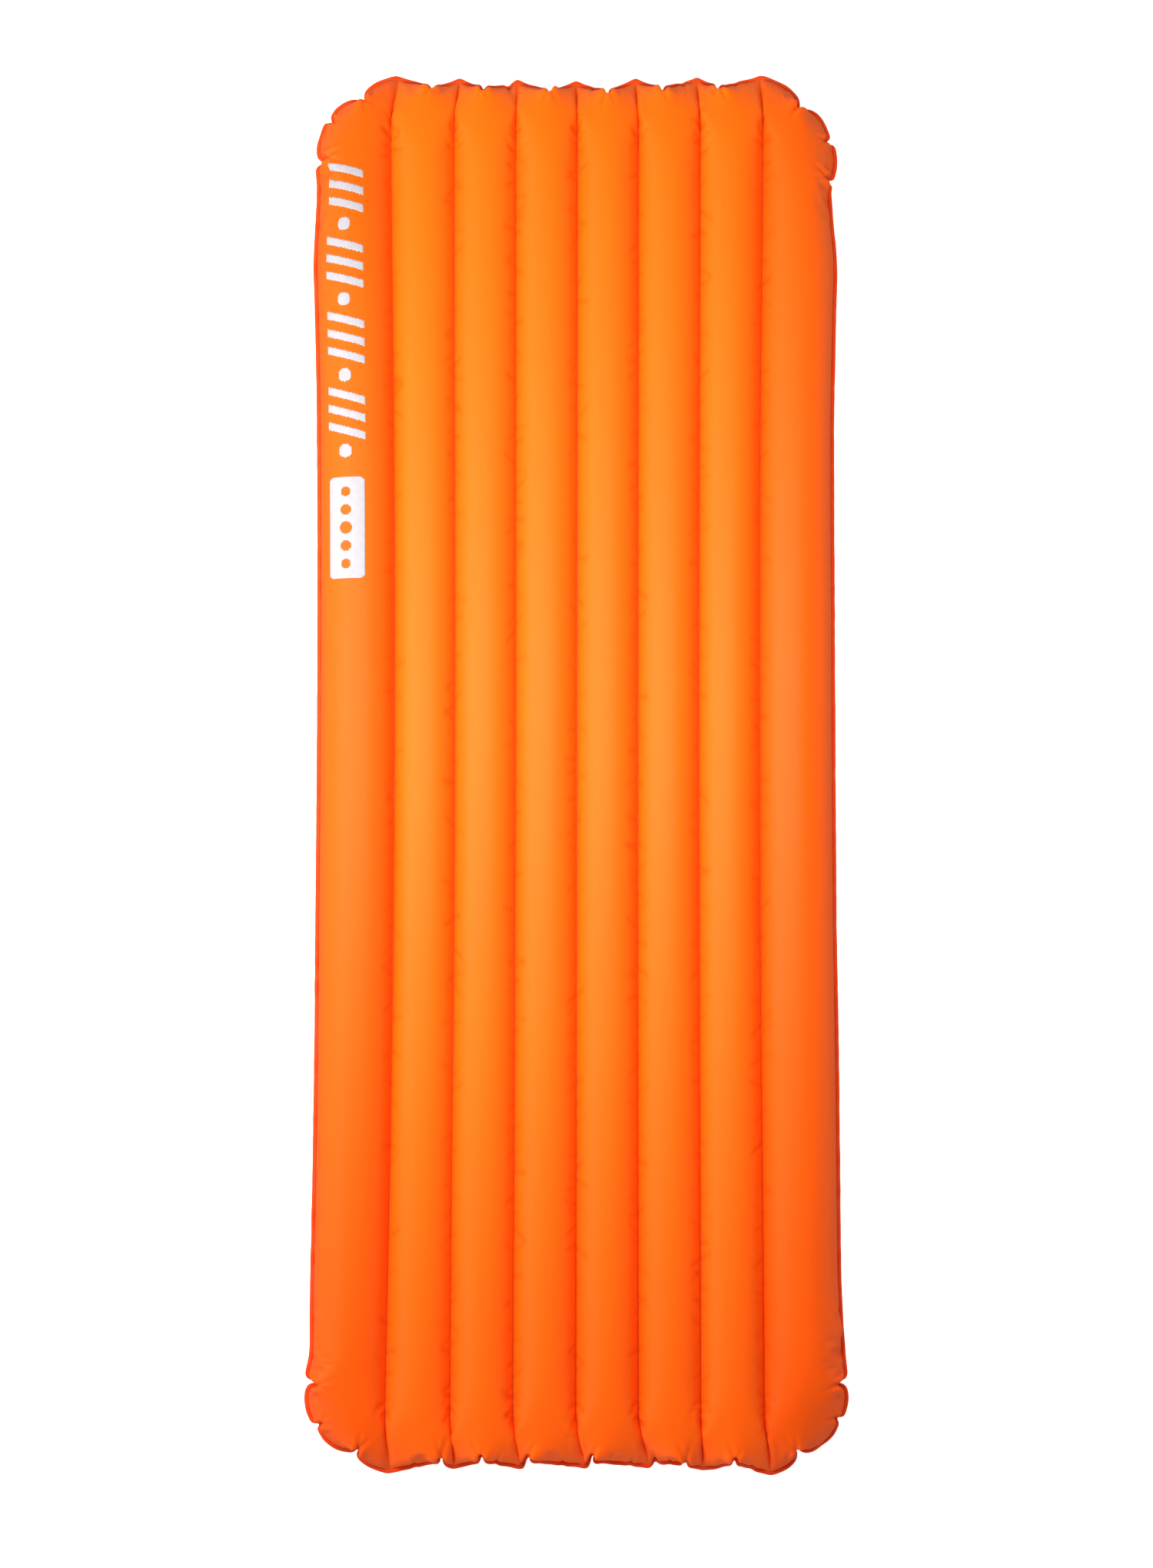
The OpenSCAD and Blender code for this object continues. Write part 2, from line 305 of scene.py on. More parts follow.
def fabric(name, stops, seam, rough):
    """Coated plain-weave cloth: two crossing yarn waves, a satin face, slow random tone, and painted shade:
    darker towards the foot, in the seams and folds, on the side tubes and near the weld line.

    stops are (place along Y in metres, colour) from the foot to the head."""
    n = Nodes(name)
    along = n.add("SeparateXYZ", {"Vector": n.place}).outputs[1]
    low, high = stops[0][0], stops[-1][0]
    along = n.add("MapRange", {"Value": along, "From Min": low, "From Max": high}).outputs[0]
    # the ramp along Y is painted shade: the cloth gets darker towards the foot, where less light falls
    colour = n.ramp(along, [((y - low) / (high - low), c) for y, c in stops])
    slow = n.noise(3.0, 2.0)
    grain = n.noise(160.0, 3.0, 0.6)
    # seam is the dark red that random tone, the weave and the painted shade below all mix towards
    colour = n.mix(n.math("MULTIPLY", slow, 0.10), colour, seam)
    # painted shade on the side tubes and near the weld line
    colour = n.mix(n.math("MULTIPLY", n.attribute("outer"), 0.24), colour, seam)
    # painted shade in the small folds beside the seams
    colour = n.mix(n.math("MULTIPLY", n.attribute("fold"), 0.24), colour, seam)
    yarn = n.math("MULTIPLY", n.wave(WEAVE, "X"), n.wave(WEAVE, "Y"))
    colour = n.mix(n.math("MULTIPLY", yarn, 0.08), colour, seam)
    # painted shade in each seam's valley
    colour = n.mix(n.math("MULTIPLY", n.attribute("seam"), 0.8), colour, seam)
    r = n.add("MapRange", {"Value": grain, "To Min": rough - 0.05, "To Max": rough + 0.06}).outputs[0]
    crease = n.noise(75.0, 4.0, 0.55, (1.0, 0.55, 1.0))
    fine = n.bump(yarn, 0.00004, 0.5, n.bump(crease, 0.0022, 0.16))
    n.shader(Base_Color=colour, Roughness=r, Normal=fine, Sheen_Weight=0.05, Sheen_Roughness=0.4,
             Specular_IOR_Level=0.17)
    return n.m


def plastic(name, colour, rough, grain=900.0):
    n = Nodes(name)
    slow = n.noise(120.0, 2.0)
    fine = n.noise(grain, 2.0, 0.6)
    dark = (*[c * 0.82 for c in colour[:3]], 1)
    col = n.mix(slow, dark, colour)
    r = n.add("MapRange", {"Value": fine, "To Min": rough - 0.06, "To Max": rough + 0.08}).outputs[0]
    n.shader(Base_Color=col, Roughness=r, Normal=n.bump(fine, 0.00003, 0.6))
    return n.m


def film(name):
    n = Nodes(name)
    cell = n.noise(70.0, 4.0, 0.7)
    col = n.mix(cell, (0.62, 0.63, 0.66, 1), (0.82, 0.83, 0.85, 1))
    rough = n.add("MapRange", {"Value": cell, "To Min": 0.18, "To Max": 0.4}).outputs[0]
    n.shader(Base_Color=col, Metallic=0.9, Roughness=rough, Normal=n.bump(cell, 0.002, 0.5))
    return n.m


# the dark red that the cloth's random tone, its weave and its painted shade all mix towards
SHADE_AND_TONE_RED = (0.62, 0.030, 0.001, 1)
# the pad cloth's colour along Y, foot to head; darker towards the foot as painted shade for the light falling
# off there
ORANGE = [(-0.915, (1.0, 0.146, 0.004)), (-0.35, (1.0, 0.174, 0.004)), (0.15, (1.0, 0.180, 0.005)),
          (0.5, (1.0, 0.184, 0.005)), (0.915, (1.0, 0.182, 0.004))]
# the weld rim: darker and redder than the pad's cloth as painted shade for the rim under the bulging tubes,
# darker still towards the foot
WELD_SHADE_ORANGE = [(-0.915, (0.80, 0.070, 0.005)), (0.915, (0.88, 0.090, 0.006))]
CREAM = [(-0.915, (0.83, 0.82, 0.78)), (0.915, (0.86, 0.85, 0.81))]
MAT = {
    "pad_fabric": fabric("pad_fabric", ORANGE, SHADE_AND_TONE_RED, 0.44),
    "weld": fabric("weld_edge", WELD_SHADE_ORANGE, SHADE_AND_TONE_RED, 0.5),
    "baffle_fabric": fabric("baffle_fabric", CREAM, (0.7, 0.68, 0.62, 1), 0.6),
    "metallised_film": film("metallised_film"),
    "valve_tpu": plastic("valve_tpu", (0.075, 0.075, 0.08, 1), 0.48),
    "valve_plastic": plastic("valve_plastic", (0.052, 0.054, 0.058, 1), 0.36, 1400.0),
    "seal_silicone": plastic("seal_silicone", (0.62, 0.63, 0.62, 1), 0.42, 700.0),
    "white_print": plastic("white_print", (0.50, 0.475, 0.50, 1), 0.62, 500.0),
}


# ---------------------------------------------------------------- meshes


def piece(name, verts, faces, mat, body="pad", flat=False):
    mesh = bpy.data.meshes.new(name)
    mesh.from_pydata([tuple(map(float, v)) for v in verts], [], [tuple(map(int, f)) for f in faces])
    mesh.validate()
    mesh.update()
    if not flat:
        mesh.polygons.foreach_set("use_smooth", [True] * len(mesh.polygons))
    o = bpy.data.objects.new(name, mesh)
    bpy.context.scene.collection.objects.link(o)
    mesh.materials.append(MAT[mat])
    if body:
        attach(o, body)
    return o


def thicken(o, thickness, offset=0):
    """Gives a sheet thickness on both sides of it, or inwards with an offset of -1."""
    thick = o.modifiers.new("thickness", "SOLIDIFY")
    thick.thickness = thickness
    thick.offset = offset


def grid_faces(ns, nt, flip=False, keep=None):
    i, j = np.meshgrid(np.arange(ns - 1), np.arange(nt - 1), indexing="ij")
    a = i * nt + j
    q = np.stack([a, a + nt, a + nt + 1, a + 1], -1).reshape(-1, 4)
    if keep is not None:
        q = q[keep.reshape(-1)]
    return q[:, ::-1] if flip else q


def set_attribute(o, name, values):
    at = o.data.attributes.new(name, "FLOAT", "POINT")
    at.data.foreach_set("value", np.asarray(values, np.float32))


# ---------------------------------------------------------------- the pad under pressure


def flat_to_arc(s):
    """Place across on the flat cut -> (x, half height) on the ideal inflated arcs."""
    a = np.abs(s)
    k = np.clip(np.floor(a / MID_ARC + 1e-9), 0, MID_TUBES // 2 - 1)
    ang = (a - (k + 0.5) * MID_ARC) / MID_R
    th = SIDE_A - (a - HALF_MID) / SIDE_R
    side = a > HALF_MID
    x = np.where(side, SIDE_X + SIDE_R * np.cos(th), (k + 0.5) * PITCH + MID_R * np.sin(ang))
    h = np.where(side, SIDE_R * np.sin(th), MID_R * np.cos(ang))
    return np.sign(s) * x, np.maximum(h, 0)


def rounded(x, y, ex, ey, r):
    """Square corner points moved onto a rounded corner of radius r."""
    u = np.clip((np.abs(x) - (ex - r)) / r, 0, 1)
    v = np.clip((np.abs(y) - (ey - r)) / r, 0, 1)
    both = (u > 0) & (v > 0)
    nx = np.sign(x) * (ex - r + r * u * np.sqrt(1 - v * v / 2))
    ny = np.sign(y) * (ey - r + r * v * np.sqrt(1 - u * u / 2))
    return np.where(both, nx, x), np.where(both, ny, y)


class Pad:
    """Both sheets as one pair of grids, P[axis, sheet, across, along]; sheet 0 is the top."""

    def __init__(self, n_mid, n_side, rows_end, rows_mid, noise, seed):
        s_mid = np.linspace(-HALF_MID, HALF_MID, n_mid * MID_TUBES + 1)
        s_side = np.linspace(HALF_MID, S_EDGE, n_side + 1)[1:]
        self.s = np.concatenate([-s_side[::-1], s_mid, s_side])
        t0 = T_EDGE - END_ZONE
        t_end = np.linspace(t0, T_EDGE, rows_end + 1)[1:]
        self.t = np.concatenate([-t_end[::-1], np.linspace(-t0, t0, rows_mid + 1), t_end])
        self.seams = [n_side + n_mid * k for k in range(MID_TUBES + 1)]
        S, T = np.meshgrid(self.s, self.t, indexing="ij")
        fu, fv = rounded(S, T, S_EDGE, T_EDGE, CORNER)
        self.fu, self.fv = fu.astype(F), fv.astype(F)
        # first place: ideal arcs that taper to the edge past the webs' ends, with rounded corners
        x, h = flat_to_arc(S)
        past = np.clip(np.abs(T) - (T_EDGE - WEB_GAP), 0, None)
        slope = math.sqrt(WEB_GAP**2 - SEAM_H**2) / WEB_GAP
        y = np.abs(T) - past * (1 - slope)
        h = h * (1 - past / WEB_GAP)
        end_y = T_EDGE - WEB_GAP * (1 - slope)
        x, y = rounded(x, np.sign(T) * y, EDGE_X, end_y, 0.099)
        P = np.zeros((3, 2, *S.shape), F)
        P[0], P[1] = x, y
        P[2, 0], P[2, 1] = MID_Z + h, MID_Z - h
        # the valve's flange keeps the sheet in its moulded shape
        th = SIDE_A - (S - HALF_MID) / SIDE_R
        ideal = np.stack([SIDE_X + SIDE_R * np.cos(th), T, MID_Z - SIDE_R * np.sin(th)])
        d = np.sqrt(sum((ideal[k] - VALVE_C[k]) ** 2 for k in range(3)))
        self.pins = np.nonzero((d < 0.026) & (S > HALF_MID))
        self.pin_pos = ideal[:, self.pins[0], self.pins[1]].astype(F)
        self.rng = np.random.default_rng(seed)
        P += self.rng.normal(0, noise, P.shape).astype(F)
        P[2] = np.maximum(P[2], 0)
        self.P, self.V = P, np.zeros_like(P)
        self.edge_bend = 0.0
        self.constraints()
        self.edge_setup()
        self.web = (2 * SEAM_H * np.clip((T_EDGE - np.abs(self.t)) / WEB_GAP, 0, 1)).astype(F)

    def constraints(self):
        fu, fv = self.fu, self.fv
        n_s, n_t = fu.shape
        every, low, high = slice(None), slice(None, -1), slice(1, None)
        self.cons = []

        def add(a, b, kind):
            self.cons.append((a, b, np.sqrt((fu[a] - fu[b]) ** 2 + (fv[a] - fv[b]) ** 2).astype(F), kind))

        for o in (0, 1):
            add((slice(o, n_s - 1, 2), every), (slice(o + 1, n_s, 2), every), "cloth")
            add((every, slice(o, n_t - 1, 2)), (every, slice(o + 1, n_t, 2)), "cloth")
            self.cons[-1][2][self.seams] *= F(0.997)
        for o in (0, 1):
            add((slice(o, n_s - 1, 2), low), (slice(o + 1, n_s, 2), high), "shear")
            add((slice(o, n_s - 1, 2), high), (slice(o + 1, n_s, 2), low), "shear")
        for o in range(4):
            a = (slice(o, n_s - 2, 4), every)
            add(a, (slice(o + 2, n_s, 4), every), "bend")
            self.cons[-1][2][np.isin(np.arange(n_s)[a[0]] + 1, self.seams)] *= 0
            add((every, slice(o, n_t - 2, 4)), (every, slice(o + 2, n_t, 4)), "bend")
        d1 = (fu[1:, 1:] - fu[:-1, :-1]) * (fv[:-1, 1:] - fv[1:, :-1])
        d2 = (fv[1:, 1:] - fv[:-1, :-1]) * (fu[:-1, 1:] - fu[1:, :-1])
        self.cell = F(np.median(0.5 * np.abs(d1 - d2)))

    def hold(self):
        """One pass over the cloth's lengths, the webs, the edge weld and the valve's flange."""
        P = self.P
        for a, b, rest, kind in self.cons:
            pa, pb = P[(slice(None), slice(None)) + a], P[(slice(None), slice(None)) + b]
            m0, m1 = min(pa.shape[2], pb.shape[2]), min(pa.shape[3], pb.shape[3])
            pa, pb, r = pa[:, :, :m0, :m1], pb[:, :, :m0, :m1], rest[:m0, :m1]
            d = pb - pa
            ln = np.sqrt(np.einsum("cijk,cijk->ijk", d, d))
            if kind == "bend":
                c = np.minimum((ln - r * F(0.98)) / np.maximum(ln, 1e-9), 0) * F(0.1)
            else:
                c = (ln - r) / np.maximum(ln, 1e-9)
                stiff, slack = (0.5, 0.3) if kind == "cloth" else (0.25, 0.15)
                c = np.where(c > 0, c * F(stiff), c * F(slack))
            d *= c
            pa += d
            pb -= d
        for c in self.seams:
            d = P[:, 0, c] - P[:, 1, c]
            ln = np.sqrt((d * d).sum(0))
            d *= np.maximum(ln - self.web, 0) / np.maximum(ln, 1e-9) * F(0.5)
            P[:, 0, c] -= d
            P[:, 1, c] += d
        every = slice(None)
        for e in ((0, every), (-1, every), (every, 0), (every, -1)):
            m = 0.5 * (P[(every, 0) + e] + P[(every, 1) + e])
            P[(every, 0) + e] = m
            P[(every, 1) + e] = m
        self.hold_edge()
        P[:, 1][:, self.pins[0], self.pins[1]] = self.pin_pos

    def edge_setup(self):
        """The weld line as one closed loop of points, with its flat lengths and gather places."""
        n_s, n_t = self.fu.shape
        self.ei = np.concatenate([np.arange(n_s - 1), np.full(n_t - 1, n_s - 1),
                                  np.arange(n_s - 1, 0, -1), np.zeros(n_t - 1, int)])
        self.ej = np.concatenate([np.zeros(n_s - 1, int), np.arange(n_t - 1),
                                  np.full(n_s - 1, n_t - 1), np.arange(n_t - 1, 0, -1)])
        U = np.stack([self.fu[self.ei, self.ej], self.fv[self.ei, self.ej]], 1).astype(float)
        step = np.linalg.norm(np.roll(U, -1, 0) - U, axis=1)
        arc = np.concatenate([[0], np.cumsum(step)[:-1]])
        total = step.sum()
        corner = (np.abs(U[:, 0]) > HALF_MID + 0.01) & (np.abs(U[:, 1]) > 0.70)
        self.edge_rest = (step * np.where(corner, CORNER_LENGTH, 1)).astype(F)

        def near(x, y):
            return arc[np.argmin((U[:, 0] - x) ** 2 + (U[:, 1] - y) ** 2)]

        places = []
        for sign, row in ((1, HEAD_GATHERS), (-1, FOOT_GATHERS)):
            places += [near((tube - 3 + share) * MID_ARC, sign * T_EDGE) for tube, share in row]
        for sx, sy, runs in CORNER_GATHERS:
            start = near(sx * HALF_MID, sy * T_EDGE)
            way = -sx * sy
            places += [(start + way * d) % total for d in runs]
        self.gathers = [int(np.argmin(np.minimum(np.abs(arc - a), total - np.abs(arc - a)))) for a in places]
        n = np.roll(U, -1, 0) - np.roll(U, 1, 0)
        n = np.stack([n[:, 1], -n[:, 0]], 1)
        self.edge_out = n / np.linalg.norm(n, axis=1)[:, None]
        count = len(U)
        soft = np.zeros(count, bool)
        for o in (-1, 0, 1):
            soft[(np.array(self.gathers) + o) % count] = True
        soft |= np.isin(self.ei, self.seams) & np.isin(self.ej, (0, n_t - 1))
        self.edge_bends = []
        for m in (2, 4, 6):
            free = np.ones(count, bool)
            for q in range(1, m):
                free &= ~np.roll(soft, -q)
            a = np.nonzero(free)[0]
            b = (a + m) % count
            self.edge_bends.append((a, b, np.linalg.norm(U[a] - U[b], axis=1).astype(F)))

    def tuck(self, depth):
        """Starts each gather as a small dent in the weld line."""
        for k in self.gathers:
            for o, w in ((0, 1.0), (-1, 0.5), (1, 0.5)):
                q = (k + o) % len(self.ei)
                for axis in (0, 1):
                    self.P[axis, :, self.ei[q], self.ej[q]] -= self.edge_out[q, axis] * depth * w

    def hold_edge(self):
        """The doubled weld line doesn't shorten, so spare length goes into bulges between gathers."""
        C = self.P[:, 0][:, self.ei, self.ej]
        d = np.roll(C, -1, 1) - C
        ln = np.sqrt((d * d).sum(0))
        d *= (ln - self.edge_rest) / np.maximum(ln, 1e-9) * F(EDGE_HOLD)
        C += d - np.roll(d, 1, 1)
        if self.edge_bend:
            for a, b, rest in self.edge_bends:
                d = C[:, b] - C[:, a]
                ln = np.sqrt((d * d).sum(0))
                d *= np.minimum(ln - rest * F(0.97), 0) / np.maximum(ln, 1e-9) * F(self.edge_bend)
                C[:, a] += d
                C[:, b] -= d
        self.P[:, 0][:, self.ei, self.ej] = C
        self.P[:, 1][:, self.ei, self.ej] = C

    def push(self, delta):
        """Air pressure: each cell's area vector shared between its corners."""
        P = self.P
        d1 = P[:, :, 1:, 1:] - P[:, :, :-1, :-1]
        d2 = P[:, :, :-1, 1:] - P[:, :, 1:, :-1]
        n = np.stack([d1[1] * d2[2] - d1[2] * d2[1],
                      d1[2] * d2[0] - d1[0] * d2[2],
                      d1[0] * d2[1] - d1[1] * d2[0]])
        n *= F(0.125)
        n[:, 1] *= -1
        f = np.zeros_like(P)
        for a in (slice(None, -1), slice(1, None)):
            for b in (slice(None, -1), slice(1, None)):
                f[:, :, a, b] += n
        return f * (F(delta) / self.cell)

    def run(self, steps, delta, damp):
        mid = slice(self.P.shape[3] // 3, 2 * self.P.shape[3] // 3)
        for _ in range(steps):
            self.V *= F(damp)
            self.V += self.push(delta)
            np.clip(self.V, -0.002, 0.002, out=self.V)
            old = self.P.copy()
            self.P += self.V
            self.hold()
            self.P[2] += MID_Z - self.P[2, :, self.seams[3], mid].mean()
            self.P[1] -= self.P[1].mean()
            np.maximum(self.P[2], 0, out=self.P[2])
            self.V = self.P - old

    def take(self, other, noise):
        """Starts from another pad's result on this pad's finer grid."""
        def across(A, old, new, axis):
            i = np.clip(np.searchsorted(old, new, side="right") - 1, 0, len(old) - 2)
            w = ((new - old[i]) / (old[i + 1] - old[i])).astype(F)
            shape = [1, 1, 1, 1]
            shape[axis] = len(new)
            w = w.reshape(shape)
            return np.take(A, i, axis) * (1 - w) + np.take(A, i + 1, axis) * w

        B = across(across(other.P, other.s, self.s, 2), other.t, self.t, 3)
        self.P = (B + self.rng.normal(0, noise, B.shape)).astype(F)
        self.V = np.zeros_like(self.P)


def inflate():
    """Relaxes a rough grid from the flat cut, then a fine one that starts from its result."""
    rough = Pad(*ROUGH_GRID, noise=0.0004, seed=3)
    rough.tuck(TUCK)
    rough.edge_bend = EDGE_BEND
    rough.run(600, 5e-6, 0.99)
    fine = Pad(*FINE_GRID, noise=0.0, seed=11)
    fine.take(rough, 0.00015)
    fine.run(420, 1.5e-6, 0.992)
    return fine


END_NOTCH = {1: 0.0022, -1: 0.0008}  # how far the weld line dips beside a seam, head and foot
HALF_X_CORNER = LAST + 0.015  # the corners lie outside this
CORNER_START = 0.245  # and are scaled across from here
CORNER_REACH = ((1, 0.3385), (-1, 0.3455))  # to this half width: (end, metres)
# how far each side's edge stands past its smoothed course: (place along Y, metres)
SIDE_TRIM = {
    -1: ((-0.75, -0.0045), (-0.45, -0.0015), (-0.2, 0.0), (0.5, -0.001), (0.75, 0.001)),
    1: ((-0.75, 0.0005), (-0.4, 0.0), (-0.2, -0.002), (0.2, -0.0025), (0.45, -0.005), (0.75, -0.003)),
}


def settle_ends(pad):
    """Slides each end's seams and gathers to their places and draws the weld line between them."""
    P, t = pad.P, pad.t
    outside = np.abs(pad.s) - HALF_MID
    for j, sign, seams, pinch, line in ((-1, 1, HEAD_SEAMS, HEAD_PINCH, HEAD_LINE),
                                        (0, -1, FOOT_SEAMS, FOOT_PINCH, FOOT_LINE)):
        w = smooth(1 - (T_EDGE - sign * t) / 0.080)
        x = P[0, 0, :, j].copy()
        old, new = [-0.335], [-0.335]
        for tube, c in enumerate(pad.seams):
            old.append(x[c])
            new.append(seams[tube] * MM)
            if tube < MID_TUBES:
                k = c + 1 + int(np.argmin(sign * P[1, 0, c + 1:pad.seams[tube + 1], j]))
                old.append(x[k])
                new.append(pinch[tube] * MM)
        move = np.interp(x, old + [0.335], new + [0.335]) - x
        P[0] += (move[:, None] * w[None]).astype(F)[None]
        x += move
        places, short = np.array(line).T * MM
        near = np.min(np.abs(x[:, None] - x[pad.seams][None]), axis=1)
        target = EDGE_Y - np.interp(x, places, short) - END_NOTCH[sign] * (1 - np.exp(-near / 0.006))
        gap = (target - sign * P[1, 0, :, j]) * (outside <= 1e-6)
        for seam, beyond in ((pad.seams[0], pad.s < 0), (pad.seams[-1], pad.s > 0)):
            gap += np.where(beyond & (outside > 1e-6), gap[seam] * smooth(1 - outside / 0.06), 0)
        P[1] += (sign * gap[:, None] * w[None]).astype(F)[None]


def straighten_sides(pad):
    """Between the corners, each side's edge follows its smoothed course, moved by SIDE_TRIM."""
    P = pad.P
    run = smooth(1 - (S_EDGE - np.abs(pad.s)) / 0.060)
    for c, side in ((0, -1), (-1, 1)):
        edge = side * P[0, 0, c].astype(float)
        flat = edge.copy()
        for _ in range(160):
            flat[1:-1] = 0.5 * flat[1:-1] + 0.25 * (flat[:-2] + flat[2:])
        trim = np.interp(P[1, 0, c], *np.array(SIDE_TRIM[side]).T)
        fix = (flat + trim - edge) * smooth((0.79 - np.abs(P[1, 0, c])) / 0.035) * 0.85
        P[0] += (side * fix[None] * (run * (side * pad.s > 0))[:, None]).astype(F)[None]


def bring_in_corners(pad):
    """Scales each corner across, so that its widest lobe reaches its half width."""
    P = pad.P
    for sign, reach in CORNER_REACH:
        zone = sign * P[1] > 0.74
        for side in (-1, 1):
            peak = (side * P[0])[zone].max()
            f = (reach - CORNER_START) / (peak - CORNER_START)
            ramp = smooth((sign * P[1] - 0.64) / 0.14)
            over = np.clip(side * P[0] - CORNER_START, 0, None)
            P[0] += (side * over * (f - 1) * ramp).astype(F)


def calm_corners(pad):
    """The corners' gathers are shallow: the weld line there comes part way to its smoothed course."""
    P = pad.P
    loop = edge_loop(pad)[:, :2]
    corner = smooth((np.abs(loop[:, 0]) - HALF_X_CORNER) / 0.02) * smooth((np.abs(loop[:, 1]) - 0.70) / 0.03)
    move = (soften(loop, 8) - loop) * (0.62 * corner)[:, None]
    used = np.nonzero(corner > 0)[0]
    sheet, i, j = np.nonzero((np.abs(P[0]) > HALF_X_CORNER - 0.03) & (np.abs(P[1]) > 0.66))
    at = P[:2, sheet, i, j].T.astype(float)
    gap = np.linalg.norm(at[:, None] - loop[used][None], axis=2)
    near = np.argmin(gap, axis=1)
    fade = smooth(1 - gap[np.arange(len(at)), near] / 0.035)
    P[:2, sheet, i, j] += (move[used][near] * fade[:, None]).T.astype(F)


def settle_outline(pad):
    """Brings the relaxed pad's outline to its own seams, gathers, sides and corners."""
    settle_ends(pad)
    straighten_sides(pad)
    bring_in_corners(pad)
    calm_corners(pad)
    return pad


def pucker(pad, p0, out, depth, run, slant=0.0, width=0.0024, dent=0.0):
    """A crease from the weld line inwards: a narrow fold with a low ridge on each side."""
    along = np.array((-out[1], out[0]))
    for sheet in (0, 1):
        A = pad.P[:, sheet]
        dx, dy = A[0] - p0[0], A[1] - p0[1]
        a = -(dx * out[0] + dy * out[1])
        b = dx * along[0] + dy * along[1] - slant * a
        near = (np.abs(b) < 0.02) & (a < run + 0.01) & (a > -0.02)
        fade = smooth(1 - a / run)
        fold = np.exp(-((b / width) ** 2)) - 0.4 * np.exp(-(((np.abs(b) - 2.6 * width) / (1.3 * width)) ** 2))
        n = pad.N[sheet]
        A -= (n * (depth * fold * fade * near)[None]).astype(F)
        pull = dent * np.exp(-((b / (1.6 * width)) ** 2)) * np.exp(-np.clip(a, 0, None) / 0.008) * near
        A[0] -= (pull * out[0]).astype(F)
        A[1] -= (pull * out[1]).astype(F)


def puckers(pad):
    """The small folds that run in from the weld line at the gathered ends and corners."""
    rng = np.random.default_rng(41)
    pad.N = [normals(pad.P[:, 0], False), normals(pad.P[:, 1], True)]
    jobs = []
    for j, sign, row, extra in ((-1, 1, HEAD_GATHERS, HEAD_PUCKERS), (0, -1, FOOT_GATHERS, FOOT_PUCKERS)):
        edge = pad.P[:, 0, :, j].copy()
        for tube, _ in row:
            a, b = pad.seams[tube], pad.seams[tube + 1]
            k = a + int(np.argmin(sign * edge[1, a:b + 1]))
            for slant in (rng.uniform(-0.55, -0.25), rng.uniform(0.15, 0.5)):
                jobs.append((edge[:2, k], (0, sign), 0.0026, rng.uniform(0.020, 0.036), slant, 0.0026, 0.0))
        for tube, share, depth, run, slant in extra:
            a, b = pad.seams[tube], pad.seams[tube + 1]
            x = edge[0, a:b + 1]
            k = a + int(np.argmin(np.abs(x - x[0] - share * (x[-1] - x[0]))))
            jobs.append((edge[:2, k], (0, sign), 1.6 * depth * MM, run * MM, slant, 0.0024, 0.0))
    loop = edge_loop(pad)[:, :2]
    calm = soften(loop, 90)
    tangent = np.roll(calm, -1, 0) - np.roll(calm, 1, 0)
    out = np.stack([tangent[:, 1], -tangent[:, 0]], 1)
    out /= np.linalg.norm(out, axis=1)[:, None]
    depth = ((soften(loop, 2) - soften(loop, 60)) * out).sum(1)
    arc = np.concatenate([[0], np.cumsum(np.linalg.norm(np.roll(loop, -1, 0) - loop, axis=1))])[:-1]
    corner = (np.abs(loop[:, 0]) > LAST + 0.012) & (np.abs(loop[:, 1]) > 0.72)
    taken = []
    for k in np.argsort(depth):
        if depth[k] > -0.0006:
            break
        if not corner[k] or any(abs(arc[k] - arc[q]) < 0.016 for q in taken):
            continue
        taken.append(k)
        for slant in (rng.uniform(-0.5, -0.2), rng.uniform(0.2, 0.5)):
            deep = rng.uniform(0.0016, 0.0030)
            jobs.append((loop[k], out[k], deep, rng.uniform(0.014, 0.034), slant, 0.0026, 0.0006))
    for p0, o, *rest in jobs:
        pucker(pad, p0, o, *rest)


def between(A, axis, breaks):
    """Points half way along an axis by cubic steps that don't run across a break."""
    A = np.moveaxis(A, axis, 0)
    mid = np.empty((len(A) - 1, *A.shape[1:]), A.dtype)
    for a, b in zip(breaks[:-1], breaks[1:]):
        q = A[a:b + 1]
        q = np.concatenate([3 * q[:1] - 3 * q[1:2] + q[2:3], q, 3 * q[-1:] - 3 * q[-2:-1] + q[-3:-2]])
        mid[a:b] = (9 * (q[1:-2] + q[2:-1]) - q[:-3] - q[3:]) / 16
    return np.moveaxis(mid, 0, axis)


def refine(pad):
    """Doubles the columns and the rows, for the creases that follow."""
    last = pad.P.shape[2] - 1
    P = pad.P
    for axis, breaks in ((2, [0] + pad.seams + [last]), (3, [0, P.shape[3] - 1])):
        shape = list(P.shape)
        shape[axis] = 2 * shape[axis] - 1
        out = np.moveaxis(np.empty(shape, F), axis, 0)
        out[::2], out[1::2] = np.moveaxis(P, axis, 0), np.moveaxis(between(P, axis, breaks), axis, 0)
        P = np.moveaxis(out, 0, axis)
    pad.P = np.ascontiguousarray(P)
    pad.s, pad.t = (np.interp(np.arange(2 * len(a) - 1) / 2, np.arange(len(a)), a) for a in (pad.s, pad.t))
    pad.seams = [2 * c for c in pad.seams]


def ease_seam_ends(pad):
    """Past its web's end a seam lifts in a smooth line, not in a knot."""
    rows = np.abs(pad.t)
    w = smooth((rows - 0.835) / 0.015) * smooth((0.902 - rows) / 0.012)
    for c in pad.seams:
        for off in range(-4, 5):
            line = pad.P[:, :, c + off]
            for _ in range(30):
                calm = line.copy()
                calm[..., 1:-1] = 0.5 * line[..., 1:-1] + 0.25 * (line[..., :-2] + line[..., 2:])
                line += (calm - line) * w.astype(F) * F(1 - abs(off) / 5)


def normals(A, flip):
    """Vertex normals of a (3, ns, nt) grid."""
    gs = np.gradient(A, axis=1)
    gt = np.gradient(A, axis=2)
    n = np.cross(gs, gt, axis=0)
    n /= np.maximum(np.sqrt((n * n).sum(0)), 1e-12)
    return -n if flip else n


